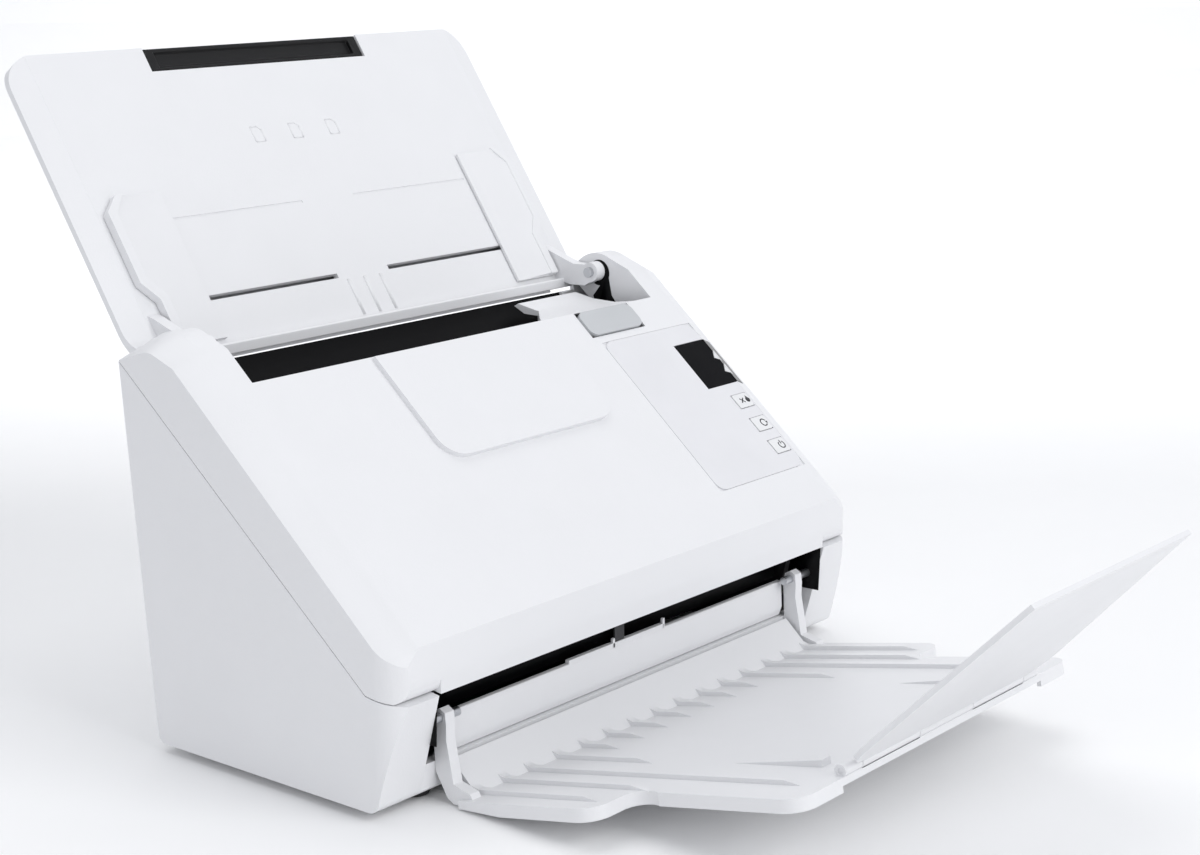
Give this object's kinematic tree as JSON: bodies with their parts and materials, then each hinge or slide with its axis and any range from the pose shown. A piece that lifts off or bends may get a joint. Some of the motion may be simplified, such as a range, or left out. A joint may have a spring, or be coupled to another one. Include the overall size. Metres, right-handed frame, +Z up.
{
  "type": "sheet-fed document scanner",
  "caption": "Desktop sheet-fed document scanner with a sloping front cover, folding input tray with side guides, fold-up output tray with stop flap, and feed rollers.",
  "frame": {"origin": "on the table under the middle of the opened scanner's bounding box, on the middle plane of the casing", "axes": "+X to the right seen from the front, -Y towards the user (the output tray's side), +Z up"},
  "size_m": [0.316, 0.4713, 0.293],
  "materials": {
    "casing": "fine satin texture",
    "black_guide": "satin",
    "lever_grey": "satin",
    "panel_film": "semi matt film",
    "display": "gloss",
    "button": "satin",
    "grip": "satin",
    "feet": "matt",
    "steel": "zinc plated",
    "frame_metal": "zinc",
    "frame_black": "satin black",
    "inner_grey": "moulded",
    "glass": "polished",
    "board": "solder resist",
    "socket": "moulded",
    "roller_rubber": "grooved",
    "pulley": "turned",
    "belt": "matt",
    "idler": "moulded"
  },
  "bodies": {
    "base": {"base_shell": "casing", "bottom_plate": "casing", "rubber_feet": "feet", "bottom_screws": "steel", "side_frame_left": "frame_black", "side_frame_right": "frame_black", "lower_guide": "black_guide", "exit_plate": "casing", "rear_scan_module": "inner_grey", "rear_scan_glass": "glass", "main_board": "board", "power_inlet": "socket", "usb_port": "steel", "drive_motor": "frame_metal", "drive_belt": "belt", "motor_belt": "belt", "cover_hinge_pins": "steel"},
    "motor_rotor": {"motor_pulley": "pulley"},
    "feed_roller": {"feed_shaft": "steel", "feed_rollers": "roller_rubber", "feed_pulley": "pulley"},
    "exit_roller": {"exit_shaft": "steel", "exit_rollers": "roller_rubber", "exit_pulley": "pulley"},
    "cover": {"front_cover": "casing", "upper_guide": "black_guide", "front_scan_module": "inner_grey", "front_scan_glass": "glass", "pinch_brackets": "inner_grey", "inlet_bridge": "casing", "control_panel": "panel_film", "display_window": "display", "panel_board": "board"},
    "pinch_roller": {"pinch_shaft": "steel", "pinch_rollers": "idler"},
    "cancel_key": {"cancel_button": "button"},
    "scan_key": {"scan_button": "button"},
    "power_key": {"power_button": "button"},
    "lever": {"release_lever": "lever_grey"},
    "latch": {"latch_hooks": "steel"},
    "input_tray": {"tray_plate": "casing", "tray_back": "casing", "tray_hinge_pins": "steel"},
    "extension": {"tray_extension": "casing", "extension_grip": "grip"},
    "guide_l": {"left_guide": "casing"},
    "guide_r": {"right_guide": "casing"},
    "rack_gear": {"guide_pinion": "idler"},
    "output_tray": {"output_tray": "casing", "output_hinge_pins": "steel", "flap_hinge_pin": "casing"},
    "flap": {"output_flap": "casing"}
  },
  "joints": [
    {"name": "cover_open", "type": "hinge", "parent": "base", "child": "cover", "pos_m": [0, -0.0085, 0.0565], "axis": [1, 0, 0], "range_deg": [0, 42]},
    {"name": "input_tray_fold", "type": "hinge", "parent": "cover", "child": "input_tray", "pos_m": [0, 0.124, 0.1736], "axis": [1, 0, 0], "range_deg": [0, 164]},
    {"name": "extension_slide", "type": "slide", "parent": "input_tray", "child": "extension", "axis": [0, 0.5527, 0.8334], "range_m": [0, 0.06]},
    {"name": "left_guide_slide", "type": "slide", "parent": "input_tray", "child": "guide_l", "axis": [1, 0, 0], "range_m": [0, 0.055]},
    {"name": "right_guide_slide", "type": "slide", "parent": "input_tray", "child": "guide_r", "axis": [-1, 0, 0], "range_m": [0, 0.055]},
    {"name": "rack_gear_spin", "type": "hinge", "parent": "input_tray", "child": "rack_gear", "pos_m": [0, 0.16401, 0.18354], "axis": [0, -0.8334, 0.5527], "range_deg": [-320, 0]},
    {"name": "output_tray_fold", "type": "hinge", "parent": "base", "child": "output_tray", "pos_m": [0, -0.0045, 0.036], "axis": [1, 0, 0], "range_deg": [-76, 0]},
    {"name": "flap_fold", "type": "hinge", "parent": "output_tray", "child": "flap", "pos_m": [0, -0.16211, 0.0351], "axis": [1, 0, 0], "range_deg": [-136, 33]},
    {"name": "lever_pull", "type": "hinge", "parent": "cover", "child": "lever", "pos_m": [0, 0.08972, 0.15915], "axis": [1, 0, 0], "range_deg": [-25, 0], "stiffness_Nm_per_rad": 0.3, "springref_deg": 17.19},
    {"name": "latch_release", "type": "hinge", "parent": "cover", "child": "latch", "pos_m": [0, 0.118, 0.152], "axis": [1, 0, 0], "range_deg": [-12.5, 0]},
    {"name": "cancel_press", "type": "slide", "parent": "cover", "child": "cancel_key", "axis": [0, 0.66, -0.7513], "range_m": [0, 0.0012], "stiffness_N_per_m": 900, "springref_m": -0.0006},
    {"name": "scan_press", "type": "slide", "parent": "cover", "child": "scan_key", "axis": [0, 0.66, -0.7513], "range_m": [0, 0.0012], "stiffness_N_per_m": 900, "springref_m": -0.0006},
    {"name": "power_press", "type": "slide", "parent": "cover", "child": "power_key", "axis": [0, 0.66, -0.7513], "range_m": [0, 0.0012], "stiffness_N_per_m": 900, "springref_m": -0.0006},
    {"name": "feed_spin", "type": "hinge", "parent": "base", "child": "feed_roller", "pos_m": [0, 0.12113, 0.13097], "axis": [1, 0, 0], "continuous": true},
    {"name": "exit_spin", "type": "hinge", "parent": "base", "child": "exit_roller", "pos_m": [0, 0.02121, 0.04319], "axis": [1, 0, 0], "continuous": true},
    {"name": "motor_spin", "type": "hinge", "parent": "base", "child": "motor_rotor", "pos_m": [0, 0.11826, 0.0812], "axis": [1, 0, 0], "continuous": true},
    {"name": "pinch_spin", "type": "hinge", "parent": "cover", "child": "pinch_roller", "pos_m": [0, 0.11195, 0.14141], "axis": [1, 0, 0], "continuous": true}
  ],
  "couplings": [
    {"joint": "right_guide_slide", "follows": "left_guide_slide", "ratio": 1},
    {"joint": "rack_gear_spin", "follows": "left_guide_slide", "rad_per_m": -94.34},
    {"joint": "latch_release", "follows": "lever_pull", "ratio": 0.5},
    {"joint": "exit_spin", "follows": "feed_spin", "ratio": 1},
    {"joint": "motor_spin", "follows": "feed_spin", "ratio": 1},
    {"joint": "pinch_spin", "follows": "feed_spin", "ratio": -1.25}
  ]
}
